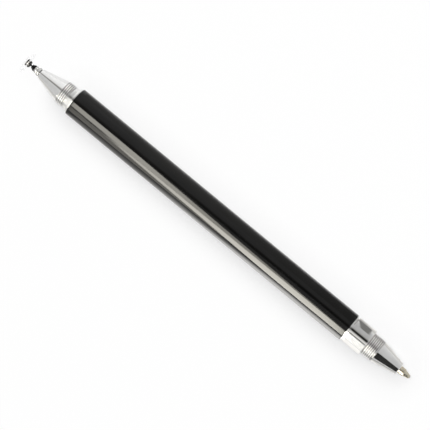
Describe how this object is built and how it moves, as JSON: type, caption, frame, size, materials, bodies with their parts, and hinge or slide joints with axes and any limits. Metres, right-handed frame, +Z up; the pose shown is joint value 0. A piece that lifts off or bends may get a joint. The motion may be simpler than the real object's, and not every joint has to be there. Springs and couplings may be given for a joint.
{
  "type": "stylus pen",
  "caption": "Two-ended stylus pen: a swivelling clear disc for touch screens on one end, a ballpoint under a screwed chrome cone on the other, and a black tube between.",
  "frame": {"origin": "on the surface that the pen lies on, under the middle of its whole length", "axes": "+X along the pen towards the writing point, -X towards the disc, +Z up; the pen's axis is 4.5 mm above the origin"},
  "size_m": [0.1454, 0.009, 0.009],
  "materials": {
    "barrel_lacquer": "gloss black lacquer over an aluminium tube",
    "chrome": "bright chrome plating",
    "insert_brass": "as turned",
    "stud_black": "turned and blackened",
    "hub_steel": "turned, polished and dark plated",
    "clear_disc": "clear polished plastic",
    "seal_rubber": "matt moulded rubber",
    "holder_plastic": "moulded white plastic",
    "refill_metal": "drawn and nickel plated",
    "point_metal": "turned nickel silver",
    "ink": "wet ink",
    "ball_carbide": "ground hard metal"
  },
  "bodies": {
    "barrel": {"barrel": "barrel_lacquer", "stylus_insert": "insert_brass", "stylus_trim_ring": "chrome", "stylus_neck": "chrome", "pen_insert": "insert_brass", "pen_trim_ring": "chrome", "pen_collar": "chrome", "refill_holder": "holder_plastic", "spacer_tube": "holder_plastic"},
    "stylus_seal": {"stylus_o_ring": "seal_rubber"},
    "stylus_cone": {"stylus_cone": "chrome", "swivel_bush": "chrome"},
    "ball_stud": {"ball_stud": "stud_black"},
    "disc_hub": {"disc_hub": "hub_steel", "disc_rivet": "hub_steel"},
    "disc": {"stylus_disc": "clear_disc"},
    "pen_seal": {"pen_o_ring": "seal_rubber"},
    "pen_cone": {"pen_cone": "chrome"},
    "refill": {"refill_tube": "refill_metal", "refill_point": "point_metal", "ink_column": "ink"},
    "writing_ball": {"writing_ball": "ball_carbide"}
  },
  "joints": [
    {"name": "stylus_cone_advance", "type": "slide", "parent": "barrel", "child": "stylus_seal", "axis": [-1, 0, 0], "range_m": [0, 0.004]},
    {"name": "stylus_cone_turn", "type": "hinge", "parent": "stylus_seal", "child": "stylus_cone", "pos_m": [-0.05881, 0, 0.0045], "axis": [-1, 0, 0], "range_deg": [0, 2880]},
    {"name": "disc_swivel", "type": "hinge", "parent": "stylus_cone", "child": "ball_stud", "pos_m": [-0.07136, 0, 0.0045], "axis": [1, 0, 0], "continuous": true},
    {"name": "disc_tilt", "type": "hinge", "parent": "ball_stud", "child": "disc_hub", "pos_m": [-0.07136, 0, 0.0045], "axis": [0, 1, 0], "range_deg": [-35, 35]},
    {"name": "disc_spin", "type": "hinge", "parent": "disc_hub", "child": "disc", "pos_m": [-0.07222, 0, 0.0045], "axis": [1, 0, 0], "continuous": true},
    {"name": "pen_cone_advance", "type": "slide", "parent": "barrel", "child": "pen_seal", "axis": [1, 0, 0], "range_m": [0, 0.004]},
    {"name": "pen_cone_turn", "type": "hinge", "parent": "pen_seal", "child": "pen_cone", "pos_m": [0.06066, 0, 0.0045], "axis": [1, 0, 0], "range_deg": [0, 2880]},
    {"name": "refill_pull", "type": "slide", "parent": "barrel", "child": "refill", "axis": [1, 0, 0], "range_m": [0, 0.07]},
    {"name": "ball_roll", "type": "hinge", "parent": "refill", "child": "writing_ball", "pos_m": [0.07218, 0, 0.0045], "axis": [0, 1, 0], "continuous": true}
  ],
  "couplings": [
    {"joint": "stylus_cone_turn", "follows": "stylus_cone_advance", "rad_per_m": 12566},
    {"joint": "pen_cone_turn", "follows": "pen_cone_advance", "rad_per_m": 12566}
  ]
}
